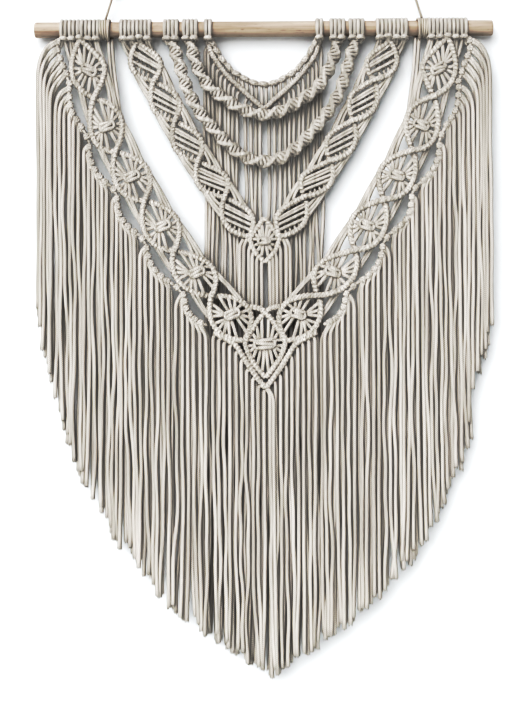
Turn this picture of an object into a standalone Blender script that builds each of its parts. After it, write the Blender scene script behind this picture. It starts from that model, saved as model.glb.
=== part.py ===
"""Macrame wall hanging on a wooden dowel, as closed solids.

Two V-shaped bands of knotted cotton cord, two twisted sinnets and a round neckline hang
from one dowel, and long fringe falls from the scalloped edge of the outer band and from its
hem.  The hanging is symmetric but for the cut of its fringe, so most tables give one half:
`out` is the distance from the middle plane and `z` the height over the dowel's axis.

Frame: metres, +X to the viewer's right, -Y to the viewer, +Z up.  The origin is the middle
of the dowel's axis, where the hanging cord holds the piece up.  The tables and the driving
dimensions are in millimetres.
"""

import math
import random
from collections import namedtuple

import bmesh
import bpy
from mathutils import Matrix, Vector
from mathutils.geometry import interpolate_bezier

MM = 0.001

# ---------------------------------------------------------------- driving dimensions, mm
DOWEL_LENGTH = 600.0
DOWEL_RADIUS = 10.0
DOWEL_EDGE = 2.5
DOWEL_SIDES = 20
GAP = 0.3                       # clearance between touching pieces

STRAND_RADIUS = 2.7             # corner radius of a plain 5 mm cord's three-sided solid
BAR_PEAK = 4.3                  # corner radius of a knotted bar over a ridge ...
BAR_VALLEY = 3.3                # ... and between two ridges
RIDGE_PITCH = 21.5              # one ridge stands for four small hitches
BACKING_RADIUS = 2.2            # the cord that the fringe of the hem is tied to
BACKING_STEP = 12.0

SINNET_RADIUS = 7.5
SINNET_FLAT = 0.8               # thickness of the sinnet's section over its width
SINNET_LOBE = 21.5              # length of one lobe of the twist
STEPS_A_LOBE = 3

HEAD_PEAK = 15.4                # lark's heads round the dowel: over a head ...
HEAD_VALLEY = 14.2              # ... and between two heads
HEAD_SIDES = 8
HEAD_DROP = -12.5               # height where the cords leave their lark's heads

LINE_RADIUS = 1.5               # the hanging cord
LINE_OUT = 207.0                # where each leg leaves the dowel
LINE_LEAN = math.radians(17.5)  # each leg leans inwards, towards the nail above
LINE_TOP = 62.0
LINE_FOOT = 14.0
LINE_POINTS = 8
LINE_TURNS = 4
LINE_TURN_SIDES = 12
TURN_VALLEY = 1.95              # thickness of the turns between two of them

# Depths of the layers, from the back to the front.
CURTAIN_DEPTH = 4.0
INNER_DEPTH = -3.6
SINNET_START = -4.0             # depth where the sinnets leave their lark's heads
SINNET_DEPTH = -9.5
OUTER_FRONT = -9.0              # the outer band near the dowel ...
OUTER_LOW = -17.0               # ... and where it hangs over the other layers
LEAN_START = -150.0             # heights between which it comes forward
LEAN_END = -330.0

# ---------------------------------------------------------------- tables, mm
# Lark's heads on the dowel, one side: first and last distance out, and how many.
Heads = namedtuple("Heads", "first last count")
OUTER_HEADS = Heads(213.5, 266.6, 5)
INNER_HEADS = Heads(146.7, 188.6, 4)
LONG_SINNET_HEADS = Heads(111.4, 131.0, 2)
SHORT_SINNET_HEADS = Heads(86.5, 106.1, 2)
NECK_HEADS = Heads(66.8, 78.6, 1)

# A band: where its two bars cross, from the dowel down to the middle, as (out, z); the
# handles of the curve that each bar follows over a cell, and those of the first cell.
Bow = namedtuple("Bow", "outer_start outer_end inner_start inner_end")
Band = namedtuple("Band", "crossings first_bow bow depth")
OUTER = Band(
    crossings=[(239.7, HEAD_DROP), (222.0, -91.0), (193.9, -161.1), (155.9, -225.3),
               (117.9, -290.8), (69.4, -349.8), (27.5, -408.0)],
    first_bow=Bow((22, -48), (25, 14), (-34, -38), (-26, 50)),
    bow=Bow((10, -33), (35, 1), (-32, -8), (-20, 43)),
    depth=lambda z: OUTER_FRONT + (OUTER_LOW - OUTER_FRONT) * share_between(z, LEAN_START, LEAN_END))
INNER = Band(
    crossings=[(162.4, HEAD_DROP), (144.1, -68.1), (116.6, -120.5), (86.5, -172.9),
               (52.4, -220.1), (20.0, -272.0)],
    first_bow=Bow((24, -34), (26, 5), (2, -17), (-30, 36)),
    bow=Bow((12, -33), (24, 3), (-30, -7), (-16, 33)),
    depth=lambda z: INNER_DEPTH)
ARC_POINTS = 25

# Bars in the middle of each V, one half, as (out, z): over, and below, its centre diamond.
DIAMOND_TOP = [(0.0, -370.0), (11.0, -384.0), (20.0, -398.0), (27.5, -412.0)]
DIAMOND_LOW = [(27.5, -410.0), (21.0, -430.0), (10.0, -446.0), (0.0, -458.0)]
HEM = [(68.0, -396.0), (54.0, -404.0), (43.0, -410.0), (34.0, -420.0), (24.0, -437.0),
       (11.0, -456.0), (0.0, -470.0)]
SMALL_DIAMOND_TOP = [(0.0, -248.0), (11.0, -262.0), (20.0, -276.0)]
SMALL_DIAMOND_LOW = [(20.0, -274.0), (13.0, -292.0), (0.0, -306.0)]

# Wheels: cords gathered in a square knot.  The knot's size is (width, depth, height), and
# its spokes are places on the bars around it.
Wheel = namedtuple("Wheel", "out z size tilt spokes")
KNOT = (17.0, 9.0, 13.0)
KNOT_TILT = math.radians(25.0)
KNOT_BEVEL = 0.25               # share of the knot's height that its corners lose
KNOT_GRIP = 0.36                # share of the knot's size where the spokes start
BAND_WHEELS = [(228.5, -54.5), (205.4, -128.3), (173.1, -194.0), (133.4, -259.0),
               (89.0, -319.5), (43.5, -374.0)]
SPOKE_SHARES = (0.2, 0.5, 0.8)
BIG_WHEEL = Wheel(0.0, -413.0, (30.0, 10.0, 15.0), 0.0,
                  [(8.0, -380.0), (19.0, -396.0), (25.0, -424.0), (13.0, -442.0)])
SMALL_WHEEL = Wheel(0.0, -277.5, (9.0, 8.0, 17.0), 0.0,
                    [(7.0, -257.0), (15.0, -272.0), (9.0, -296.0)])

# Straight cords of the bands, by their shares along the two bars that they join.
LADDER = [(0.22, 0.52), (0.42, 0.68), (0.62, 0.84)]     # outer bar, inner bar of a leaf
Across = namedtuple("Across", "outer above below")      # over the notch beside a crossing
OUTER_ACROSS = [Across(False, 0.68, 0.38)]
INNER_ACROSS = [Across(False, 0.72, 0.36), Across(True, 0.60, 0.24)]

# Cords that fall from the small centre diamond: distance out and height of their roots.
INNER_TAILS = [(4.0, -298.0), (10.5, -290.0), (17.0, -280.0)]
INNER_TAIL_SPREAD = 1.1

# The scalloped edge: one running bar that leaves the band above each crossing, bows outwards
# past it and lands on the next cell.  Shares are along the outer bar of the cell above and
# of the cell below; the free points between are (out, z).
Scallop = namedtuple("Scallop", "leaves free lands")
SCALLOPS = [
    Scallop(None, [(267.0, HEAD_DROP), (270.0, -25.0), (267.5, -38.0), (262.0, -50.0)], 0.48),
    Scallop(0.70, [(254.0, -97.0), (251.0, -109.0), (245.5, -121.0)], 0.46),
    Scallop(0.66, [(225.5, -164.0), (220.0, -178.0), (213.0, -190.0)], 0.47),
    Scallop(0.66, [(190.0, -232.0), (183.0, -248.0), (173.5, -260.0)], 0.47),
    Scallop(0.66, [(149.5, -301.0), (142.0, -315.0), (132.5, -326.0)], 0.47),
    Scallop(0.66, [(103.5, -362.0), (97.0, -374.0), (88.0, -383.0)], 0.38),
]

# Fringe: for each scallop, the first and last strand's distance out, and how many.
Fringe = namedtuple("Fringe", "first last count")
SIDE_FRINGE = [Fringe(294.0, 270.0, 4), Fringe(262.0, 241.0, 4), Fringe(233.0, 208.0, 4),
               Fringe(200.0, 167.0, 5), Fringe(159.0, 124.0, 5), Fringe(116.0, 78.0, 5)]
FRINGE_SHOULDER = 9.0           # a strand's fall below its root before it hangs straight
FRINGE_SWAY = 1.5
HEM_FRINGE_HALF = 64.6
HEM_FRINGE_COUNT = 18

# The cut of the fringe, which isn't symmetric: height of the tips along the width.
Tip = namedtuple("Tip", "x z")
TIPS = [Tip(-300, -345), Tip(-290, -404), Tip(-277, -462), Tip(-266, -520), Tip(-246, -577),
        Tip(-219, -620), Tip(-199, -668), Tip(-177, -688), Tip(-134, -748), Tip(-75, -794),
        Tip(-42, -818), Tip(8, -846), Tip(55, -815), Tip(114, -772), Tip(144, -749),
        Tip(165, -724), Tip(200, -682), Tip(220, -641), Tip(252, -577), Tip(267, -525),
        Tip(275, -463), Tip(286, -426), Tip(300, -378)]
TIP_SPREAD = 6.0
CHANCE_SEED = 7

# The neckline's arc of lark's heads and the straight V bar below it, one half: (out, z).
NECK_ARC = [(71.5, HEAD_DROP), (67.0, -23.0), (58.0, -38.0), (46.0, -54.0), (34.0, -65.0),
            (18.0, -71.5), (0.0, -73.0)]
NECK_BAR = [(73.0, HEAD_DROP), (71.0, -27.0), (47.0, -58.0), (16.0, -91.0), (0.0, -104.0)]
NECK_HOLD = 70.0                # the V bar holds cords only this far out
NECK_LADDER_HALF = 32.0         # cords between the arc and the V bar
NECK_LADDER_COUNT = 7
CURTAIN_HALF = 78.0             # cords that hang from the V bar, behind the bands
CURTAIN_COUNT = 22
CURTAIN_DROP = 12.0             # the outermost spread over this fall

# The twisted sinnets, one half each: (out, z).
LONG_SINNET = [(121.2, HEAD_DROP), (114.0, -35.0), (106.0, -62.0), (97.0, -87.0), (83.0, -111.0),
               (64.0, -134.0), (44.0, -155.0), (22.0, -170.0), (0.0, -174.5)]
SHORT_SINNET = [(96.3, HEAD_DROP), (92.0, -35.0), (84.0, -56.0), (72.0, -76.0), (55.0, -90.0),
                (35.0, -103.0), (16.0, -111.0), (0.0, -113.5)]

SIDES = ((-1, "left"), (1, "right"))

Finish = namedtuple("Finish", "name colour roughness")
COTTON = Finish("Braided cotton cord", (0.64, 0.58, 0.51), 0.9)
LINE = Finish("Thin braided cotton line", (0.72, 0.70, 0.67), 0.8)
BEECH = Finish("Sanded beech", (0.66, 0.47, 0.32), 0.6)


# ---------------------------------------------------------------- paths
def share_between(value, start, end):
    """How far value is on its way from start to end, kept between 0 and 1."""
    return min(max((value - start) / (end - start), 0.0), 1.0)


def smooth(table, per_span=8):
    """A smooth path through (out, z) or (x, y, z) points, with handles along their neighbours."""
    points = [Vector(p) if len(p) == 3 else Vector((p[0], 0.0, p[1])) for p in table]
    last = len(points) - 1
    slopes = [(points[min(i + 1, last)] - points[max(i - 1, 0)]) / 6.0 for i in range(last + 1)]
    path = [points[0]]
    for i in range(last):
        span = interpolate_bezier(points[i], points[i] + slopes[i],
                                  points[i + 1] - slopes[i + 1], points[i + 1], per_span)
        path.extend(span[1:])
    return path


def spaced(path, step):
    """The same path with points a nearly equal step apart, and both ends kept."""
    total = sum((b - a).length for a, b in zip(path, path[1:]))
    count = max(2, round(total / step))
    walked, i, result = 0.0, 0, [path[0].copy()]
    for k in range(1, count):
        target = total * k / count
        while walked + (path[i + 1] - path[i]).length < target:
            walked += (path[i + 1] - path[i]).length
            i += 1
        result.append(path[i].lerp(path[i + 1], (target - walked) / (path[i + 1] - path[i]).length))
    return result + [path[-1].copy()]


def mirrored(table):
    """A whole row of (out, z) points from its half, with the middle point last in the half."""
    return [(-out, z) for out, z in table] + [(out, z) for out, z in table[-2::-1]]


def placed(table, side, depth):
    """Points (out, z) on one side of the middle, each at the depth of its layer."""
    return [Vector((side * out, depth(z), z)) for out, z in table]


def bar_height(table, out):
    """Height of a bar, given as (out, z) points, at one distance out."""
    return min(smooth(table), key=lambda point: abs(point.x - out)).z


def cell_arc(band, cell, outer):
    """The curve of a band's outer or inner bar over one cell, as (out, z) points."""
    bow = band.first_bow if cell == 0 else band.bow
    (start_out, start_z), (end_out, end_z) = band.crossings[cell:cell + 2]
    start, end = Vector((start_out, 0.0, start_z)), Vector((end_out, 0.0, end_z))
    leave = bow.outer_start if outer else bow.inner_start
    arrive = bow.outer_end if outer else bow.inner_end
    points = interpolate_bezier(start, start + Vector((leave[0], 0.0, leave[1])),
                                end + Vector((arrive[0], 0.0, arrive[1])), end, ARC_POINTS)
    return [(p.x, p.z) for p in points]


def on_arc(band, cell, outer, share):
    """The point of a cell's bar at a share of its curve."""
    return cell_arc(band, cell, outer)[round(share * (ARC_POINTS - 1))]


def woven_bar(band, starts_outside, side):
    """A bar that changes sides with its twin at every crossing of the band."""
    table = []
    for cell in range(len(band.crossings) - 1):
        outer = starts_outside == (cell % 2 == 0)
        table.extend(cell_arc(band, cell, outer)[1 if table else 0:])
    return placed(table, side, band.depth)


def beside(cell, share):
    """A place on the scalloped bar where it touches the outer bar of a cell."""
    point, ahead = (Vector(on_arc(OUTER, cell, True, share + step)) for step in (0.0, 2.0 / ARC_POINTS))
    along = (ahead - point).normalized()
    offset = 2.0 * BAR_PEAK + GAP
    return (point.x - along.y * offset, point.y + along.x * offset)


def scallop_points(cell):
    """The (out, z) points of the scallop that lands on a cell."""
    scallop = SCALLOPS[cell]
    start = [] if scallop.leaves is None else [beside(cell - 1, scallop.leaves)]
    return start + scallop.free + [beside(cell, scallop.lands)]


def scalloped_edge():
    """The whole scalloped bar of one side, with the stretches that lie along the band."""
    edge = scallop_points(0)
    for cell in range(1, len(SCALLOPS)):
        edge.append(beside(cell - 1, (SCALLOPS[cell - 1].lands + SCALLOPS[cell].leaves) / 2.0))
        edge.extend(scallop_points(cell))
    return edge


def tip_height(x):
    """Height of the cut end of a fringe strand that hangs at x."""
    for a, b in zip(TIPS, TIPS[1:]):
        if x <= b.x:
            return a.z + (b.z - a.z) * share_between(x, a.x, b.x) + chance.uniform(0.0, TIP_SPREAD)
    return TIPS[-1].z


# ---------------------------------------------------------------- solids
def mesh_object(name, body):
    """An object of a closed bmesh, welded and with its faces outwards."""
    bmesh.ops.remove_doubles(body, verts=body.verts, dist=1e-6)
    bmesh.ops.recalc_face_normals(body, faces=body.faces)
    mesh = bpy.data.meshes.new(name)
    body.to_mesh(mesh)
    body.free()
    thing = bpy.data.objects.new(name, mesh)
    cutters.objects.link(thing)
    return thing


def outline(name, corners, width, height):
    """A small closed outline, with corners on an ellipse, that a cord is swept with."""
    curve = bpy.data.curves.new(name, "CURVE")
    spline = curve.splines.new("POLY")
    spline.points.add(corners - 1)
    for i, point in enumerate(spline.points):
        angle = 2.0 * math.pi * i / corners
        point.co = (width * math.cos(angle) * MM, height * math.sin(angle) * MM, 0.0, 1.0)
    spline.use_cyclic_u = True
    thing = bpy.data.objects.new(name, curve)
    cutters.objects.link(thing)
    thing.hide_render = True
    thing.display_type = "WIRE"
    return thing


def evaluated_mesh(thing):
    return bpy.data.meshes.new_from_object(
        thing.evaluated_get(bpy.context.evaluated_depsgraph_get()))


def swept(name, paths, radii, resolution=0, section=None, turn=0.0):
    """Solid tubes along paths: round ones of the given radii, or a section turned at each point."""
    curve = bpy.data.curves.new(name, "CURVE")
    curve.dimensions = "3D"
    curve.use_fill_caps = True
    if section is None:
        curve.bevel_depth = MM
        curve.bevel_resolution = resolution
    else:
        curve.bevel_mode = "OBJECT"
        curve.bevel_object = section
    for path, sizes in zip(paths, radii):
        spline = curve.splines.new("POLY")
        spline.points.add(len(path) - 1)
        for i, (point, place, size) in enumerate(zip(spline.points, path, sizes)):
            point.co = (*(place * MM), 1.0)
            point.radius = size
            point.tilt = turn * i
    thing = bpy.data.objects.new(name, curve)
    cutters.objects.link(thing)
    mesh = evaluated_mesh(thing)
    bpy.data.objects.remove(thing)
    body = bmesh.new()
    body.from_mesh(mesh)
    return mesh_object(name, body)


def ridged_bar(name, path):
    """A row of hitches: a bar that swells over each ridge."""
    path = spaced(path, RIDGE_PITCH / 2.0)
    return swept(name, [path], [[BAR_VALLEY if i % 2 == 0 else BAR_PEAK for i in range(len(path))]])


def strands(name, paths):
    """Plain three-sided cords."""
    triangle = outline("strand_section", 3, STRAND_RADIUS, STRAND_RADIUS)
    thing = swept(name, paths, [[1.0] * len(path) for path in paths], section=triangle)
    bpy.data.objects.remove(triangle)
    return thing


def turned_ring(name, side, inner, rim, steps):
    """A ring round the dowel: its rim, as (out, radius) points, over a bore with flat sides."""
    bore = inner / math.cos(math.pi / steps)
    section = [(rim[0][0], bore)] + rim + [(rim[-1][0], bore)]
    body = bmesh.new()
    verts = [body.verts.new((side * out * MM, 0.0, radius * MM)) for out, radius in section]
    edges = [body.edges.new(pair) for pair in zip(verts, verts[1:] + verts[:1])]
    bmesh.ops.spin(body, geom=verts + edges, cent=(0, 0, 0), axis=(1, 0, 0),
                   angle=2.0 * math.pi, steps=steps, use_merge=True)
    return mesh_object(name, body)


def ridged_rim(first, last, ridges, valley, peak):
    """A rim, as (out, radius) points, with one ridge after another."""
    step = (last - first) / (2 * ridges)
    return [(first + step * i, valley if i % 2 == 0 else peak) for i in range(2 * ridges + 1)]


def lark_heads(heads, side):
    """A sleeve of lark's heads round the dowel, one ridge for each head."""
    rim = ridged_rim(heads.first, heads.last, heads.count, HEAD_VALLEY, HEAD_PEAK)
    return turned_ring("heads", side, DOWEL_RADIUS + GAP, rim, HEAD_SIDES)


def square_knot(wheel, side, depth):
    """A square knot as a block with cut corners, turned in the plane of its band."""
    body = bmesh.new()
    bmesh.ops.create_cube(body, size=1.0)
    upright = [e for e in body.edges if abs(e.verts[0].co.y - e.verts[1].co.y) > 0.5]
    bmesh.ops.scale(body, vec=[s * MM for s in wheel.size], verts=body.verts)
    bmesh.ops.bevel(body, geom=upright, offset=KNOT_BEVEL * wheel.size[2] * MM, segments=1,
                    affect="EDGES")
    place = Vector((side * wheel.out, depth(wheel.z), wheel.z)) * MM
    turn = Matrix.Translation(place) @ Matrix.Rotation(side * wheel.tilt, 4, "Y")
    bmesh.ops.transform(body, matrix=turn, verts=body.verts)
    return mesh_object("knot", body)


def spokes(wheel, side, depth):
    """Straight cords from a wheel's knot to their places on the bars around it."""
    centre = Vector((side * wheel.out, depth(wheel.z), wheel.z))
    width, _, height = (KNOT_GRIP * s for s in wheel.size)
    paths = []
    for target in placed(wheel.spokes, side, depth):
        away = (target - centre).normalized()
        paths.append([centre + Vector((away.x * width, 0.0, away.z * height)), target])
    return paths


def finish(kind):
    """The material of one kind of cord or wood."""
    result = bpy.data.materials.get(kind.name) or bpy.data.materials.new(kind.name)
    result.use_nodes = True
    shader = result.node_tree.nodes["Principled BSDF"]
    shader.inputs["Base Color"].default_value = (*kind.colour, 1.0)
    shader.inputs["Roughness"].default_value = kind.roughness
    shader.inputs["Metallic"].default_value = 0.0
    return result


def fuse(name, pieces, kind=COTTON):
    """Union the pieces of one node into one closed body, under the node's name."""
    first, rest = pieces[0], bpy.data.collections.new(name + "_rest")
    for piece in pieces[1:]:
        rest.objects.link(piece)
    if rest.objects:
        union = first.modifiers.new("Union", "BOOLEAN")
        union.operation = "UNION"
        union.solver = "EXACT"
        union.operand_type = "COLLECTION"
        union.collection = rest
        union.use_self = True
    mesh = evaluated_mesh(first)
    for piece in pieces:
        bpy.data.objects.remove(piece)
    bpy.data.collections.remove(rest)
    mesh.materials.clear()
    mesh.materials.append(finish(kind))
    mesh.name = name
    parts.objects.link(bpy.data.objects.new(name, mesh))


# ---------------------------------------------------------------- sub-parts
def dowel():
    """The round rod with eased ends."""
    body = bmesh.new()
    bmesh.ops.create_cone(body, cap_ends=True, segments=DOWEL_SIDES, radius1=DOWEL_RADIUS * MM,
                          radius2=DOWEL_RADIUS * MM, depth=DOWEL_LENGTH * MM,
                          matrix=Matrix.Rotation(math.pi / 2.0, 4, "Y"))
    ends = [e for e in body.edges if (e.verts[0].co.x > 0) == (e.verts[1].co.x > 0)]
    bmesh.ops.bevel(body, geom=ends, offset=DOWEL_EDGE * MM, segments=1, affect="EDGES")
    fuse("dowel", [mesh_object("rod", body)], BEECH)


def hanging_cord(side, word):
    """Turns of the hanging cord round the dowel, and the leg that rises from them."""
    half = LINE_RADIUS * LINE_TURNS
    bore = DOWEL_RADIUS + GAP
    rim = ridged_rim(LINE_OUT - half, LINE_OUT + half, LINE_TURNS, bore + TURN_VALLEY,
                     bore + 2.0 * LINE_RADIUS)
    fuse("hanger_wrap_" + word, [turned_ring("turns", side, bore, rim, LINE_TURN_SIDES)], LINE)
    foot = Vector((side * LINE_OUT, 0.0, LINE_FOOT))
    rise = LINE_TOP - LINE_FOOT
    top = foot + Vector((-side * math.tan(LINE_LEAN) * rise, 0.0, rise))
    leg = [foot.lerp(top, i / (LINE_POINTS - 1)) for i in range(LINE_POINTS)]
    fuse("hanger_cord_" + word, [swept("leg", [leg], [[LINE_RADIUS] * LINE_POINTS], resolution=2)], LINE)


def band_pieces(band, heads, low_bar, top_bar):
    """The bars of a V-shaped band, both sides, with its lark's heads and centre diamond."""
    pieces = []
    for side, _ in SIDES:
        pieces.append(ridged_bar("bar", woven_bar(band, True, side)))
        pieces.append(ridged_bar("bar", woven_bar(band, False, side)))
        pieces.append(lark_heads(heads, side))
        pieces.append(ridged_bar("low", smooth(placed(low_bar, side, band.depth))))
    pieces.append(ridged_bar("top", placed(mirrored(top_bar[::-1]), 1, band.depth)))
    return pieces


def notch_strands(band, side, rows):
    """Straight cords over the notches beside a band's crossings."""
    paths = []
    for cell in range(1, len(band.crossings) - 1):
        for row in rows:
            ends = [on_arc(band, cell - 1, row.outer, row.above), on_arc(band, cell, row.outer, row.below)]
            paths.append(placed(ends, side, band.depth))
    return paths


def outer_band():
    """The outer V: woven bars round six wheels a side, the large centre diamond and the hem."""
    pieces = band_pieces(OUTER, OUTER_HEADS, DIAMOND_LOW, DIAMOND_TOP)
    pieces.append(ridged_bar("hem", smooth(placed(mirrored(HEM), 1, OUTER.depth))))
    paths = []
    for side, _ in SIDES:
        for cell, (out, z) in enumerate(BAND_WHEELS):
            around = [on_arc(OUTER, cell, outer, share) for outer in (True, False)
                      for share in SPOKE_SHARES]
            wheel = Wheel(out, z, KNOT, KNOT_TILT, around)
            pieces.append(square_knot(wheel, side, OUTER.depth))
            paths.extend(spokes(wheel, side, OUTER.depth))
        paths.extend(notch_strands(OUTER, side, OUTER_ACROSS))
        paths.extend(spokes(BIG_WHEEL, side, OUTER.depth))
    pieces.append(square_knot(BIG_WHEEL, 1, OUTER.depth))
    pieces.append(strands("strands", paths))
    fuse("outer_band", pieces)


def inner_band():
    """The inner V: leaves crossed by ladder cords, and the small centre diamond."""
    pieces = band_pieces(INNER, INNER_HEADS, SMALL_DIAMOND_LOW, SMALL_DIAMOND_TOP)
    paths = []
    for side, _ in SIDES:
        for cell in range(len(INNER.crossings) - 1):
            for outer_share, inner_share in LADDER:
                rung = [on_arc(INNER, cell, True, outer_share), on_arc(INNER, cell, False, inner_share)]
                paths.append(placed(rung, side, INNER.depth))
        paths.extend(notch_strands(INNER, side, INNER_ACROSS))
        paths.extend(spokes(SMALL_WHEEL, side, INNER.depth))
        for out, root in INNER_TAILS:
            tip = tip_height(side * out)
            tail = [(out, root), (out * INNER_TAIL_SPREAD, (root + tip) / 2.0), (out * INNER_TAIL_SPREAD, tip)]
            paths.append(placed(tail, side, INNER.depth))
    pieces.append(square_knot(SMALL_WHEEL, 1, INNER.depth))
    pieces.append(strands("strands", paths))
    fuse("inner_band", pieces)


def even_places(half, count):
    """Places from -half to half, evenly apart."""
    return [half * (2.0 * i / (count - 1) - 1.0) for i in range(count)]


def neckline():
    """The round neckline, the V bar under it and the curtain of cords behind the bands."""
    pieces = [lark_heads(NECK_HEADS, side) for side, _ in SIDES]
    for table in (NECK_ARC, NECK_BAR):
        row = smooth(placed(mirrored(table), 1, lambda z: CURTAIN_DEPTH))
        pieces.append(ridged_bar("bar", row))
    paths = []
    for x in even_places(CURTAIN_HALF, CURTAIN_COUNT):
        held = min(max(x, -NECK_HOLD), NECK_HOLD)
        root = bar_height(NECK_BAR, abs(held))
        fall = [(held, root), (x, root - CURTAIN_DROP), (x, tip_height(x))]
        paths.append(placed(fall, 1, lambda z: CURTAIN_DEPTH))
    for x in even_places(NECK_LADDER_HALF, NECK_LADDER_COUNT):
        rung = [(x, bar_height(NECK_ARC, abs(x))), (x, bar_height(NECK_BAR, abs(x)))]
        paths.append(placed(rung, 1, lambda z: CURTAIN_DEPTH))
    pieces.append(strands("strands", paths))
    fuse("neckline", pieces)


def twisted_sinnet(name, table, heads):
    """A half-knot sinnet between two groups of lark's heads: a flat bar that keeps turning."""
    row = mirrored(table)
    last = len(row) - 1
    route = [(out, SINNET_START if i in (0, last) else SINNET_DEPTH, z) for i, (out, z) in enumerate(row)]
    path = spaced(smooth(route), SINNET_LOBE / STEPS_A_LOBE)
    section = outline("sinnet_section", 4, SINNET_RADIUS, SINNET_RADIUS * SINNET_FLAT)
    pieces = [swept("twist", [path], [[1.0] * len(path)], section=section, turn=math.pi / STEPS_A_LOBE)]
    bpy.data.objects.remove(section)
    pieces.extend(lark_heads(heads, side) for side, _ in SIDES)
    fuse(name, pieces)


def side_fringe(side, word):
    """The scalloped bar along the band's outer edge, and the fringe that falls from it."""
    pieces = [ridged_bar("scallops", smooth(placed(scalloped_edge(), side, OUTER.depth), 4))]
    paths = []
    for cell, fringe in enumerate(SIDE_FRINGE):
        roots = smooth(scallop_points(cell), 12)
        for i in range(fringe.count):
            root = roots[round((i + 0.5) / fringe.count * (len(roots) - 1))]
            out = fringe.first + (fringe.last - fringe.first) * i / (fringe.count - 1)
            tip = tip_height(side * out)
            sway = chance.uniform(-FRINGE_SWAY, FRINGE_SWAY)
            fall = [(root.x, root.z), (out, root.z - FRINGE_SHOULDER), (out + sway, (root.z + tip) / 2.0),
                    (out, tip)]
            paths.append(placed(fall, side, lambda z: OUTER.depth(root.z)))
    pieces.append(strands("strands", paths))
    fuse("fringe_" + word, pieces)


def centre_fringe():
    """The fringe tied along the hem of the outer V, on its own cord behind that hem."""
    depth = OUTER_LOW + BAR_PEAK + GAP + BACKING_RADIUS
    half = [(p.x, p.z) for p in spaced(smooth(HEM), BACKING_STEP)]
    path = placed(mirrored(half), 1, lambda z: depth)
    pieces = [swept("backing", [path], [[BACKING_RADIUS] * len(path)])]
    paths = []
    for x in even_places(HEM_FRINGE_HALF, HEM_FRINGE_COUNT):
        root = bar_height(HEM, abs(x))
        tip = tip_height(x)
        sway = chance.uniform(-FRINGE_SWAY, FRINGE_SWAY)
        fall = [(x, root), (x + sway, (root + tip) / 2.0), (x, tip)]
        paths.append(placed(fall, 1, lambda z: depth))
    pieces.append(strands("strands", paths))
    fuse("fringe_centre", pieces)


for old in list(bpy.data.objects):
    bpy.data.objects.remove(old)
chance = random.Random(CHANCE_SEED)
parts = bpy.data.collections.new("macrame_wall_hanging")
cutters = bpy.data.collections.new("cutters")
for collection in (parts, cutters):
    bpy.context.scene.collection.children.link(collection)

dowel()
outer_band()
inner_band()
neckline()
twisted_sinnet("sinnet_long", LONG_SINNET, LONG_SINNET_HEADS)
twisted_sinnet("sinnet_short", SHORT_SINNET, SHORT_SINNET_HEADS)
for side, word in SIDES:
    hanging_cord(side, word)
    side_fringe(side, word)
centre_fringe()
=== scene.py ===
# %% [markdown]
# # A macrame wall hanging on a beech dowel
# The real piece is one stick and a few hundred lengths of braided cotton cord, and every form in
# it is a knot: lark's heads hold the cords on the dowel, double half hitches make the ridged bars,
# square knots gather the wheels, half knots make the twisted sinnets. So almost everything here is
# a round strand that follows a path, and each knot is a small function that returns such paths.
# Paths are in millimetres, meshes in metres.

# %% Load the frame
import math
import random
from collections import namedtuple

import bmesh
import bpy
import numpy as np
from mathutils import Matrix, Vector
from mathutils.geometry import interpolate_bezier


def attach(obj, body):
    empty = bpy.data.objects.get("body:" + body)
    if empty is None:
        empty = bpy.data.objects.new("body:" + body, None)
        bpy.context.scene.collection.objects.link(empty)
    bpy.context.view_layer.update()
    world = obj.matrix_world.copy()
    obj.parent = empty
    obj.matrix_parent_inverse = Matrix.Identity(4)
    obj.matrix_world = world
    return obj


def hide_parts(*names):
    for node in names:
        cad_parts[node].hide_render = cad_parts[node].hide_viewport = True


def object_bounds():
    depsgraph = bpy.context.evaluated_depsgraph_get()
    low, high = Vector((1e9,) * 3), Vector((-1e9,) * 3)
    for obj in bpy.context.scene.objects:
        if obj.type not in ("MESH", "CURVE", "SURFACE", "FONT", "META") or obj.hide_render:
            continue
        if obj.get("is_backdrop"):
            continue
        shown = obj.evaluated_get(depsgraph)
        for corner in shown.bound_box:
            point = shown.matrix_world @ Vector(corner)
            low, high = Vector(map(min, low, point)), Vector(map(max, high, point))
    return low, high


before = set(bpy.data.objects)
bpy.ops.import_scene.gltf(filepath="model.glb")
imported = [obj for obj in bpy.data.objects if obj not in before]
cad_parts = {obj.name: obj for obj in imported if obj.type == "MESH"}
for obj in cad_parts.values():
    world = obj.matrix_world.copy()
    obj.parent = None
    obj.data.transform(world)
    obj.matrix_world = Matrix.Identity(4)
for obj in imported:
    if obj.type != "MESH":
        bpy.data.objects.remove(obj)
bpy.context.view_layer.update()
MM = 0.001
RIGHT, BACK, UP = Vector((1, 0, 0)), Vector((0, 1, 0)), Vector((0, 0, 1))
chance = random.Random(11)


def wobble(most):
    """A small difference either way, as in all that is tied by hand."""
    return chance.uniform(-most, most)


def linked(name, data):
    """A new object in the scene."""
    made = bpy.data.objects.new(name, data)
    bpy.context.scene.collection.objects.link(made)
    return made


# %% [markdown]
# ## The camera
# A wall hanging is looked at from straight ahead, with a longish lens from a little over two
# metres away, so the dowel doesn't bend towards the corners. The picture is 530 by 707 points and
# each covers 1.31 mm of the hanging, which isn't quite level, so the camera leans by a third of a
# degree.

# %% Camera
PICTURE_HEIGHT = 707
MM_A_POINT = 1.31
PICTURE_MIDDLE = Vector((-0.5, 0, -425))
DISTANCE = 2200
LEAN = math.radians(0.3)

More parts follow.
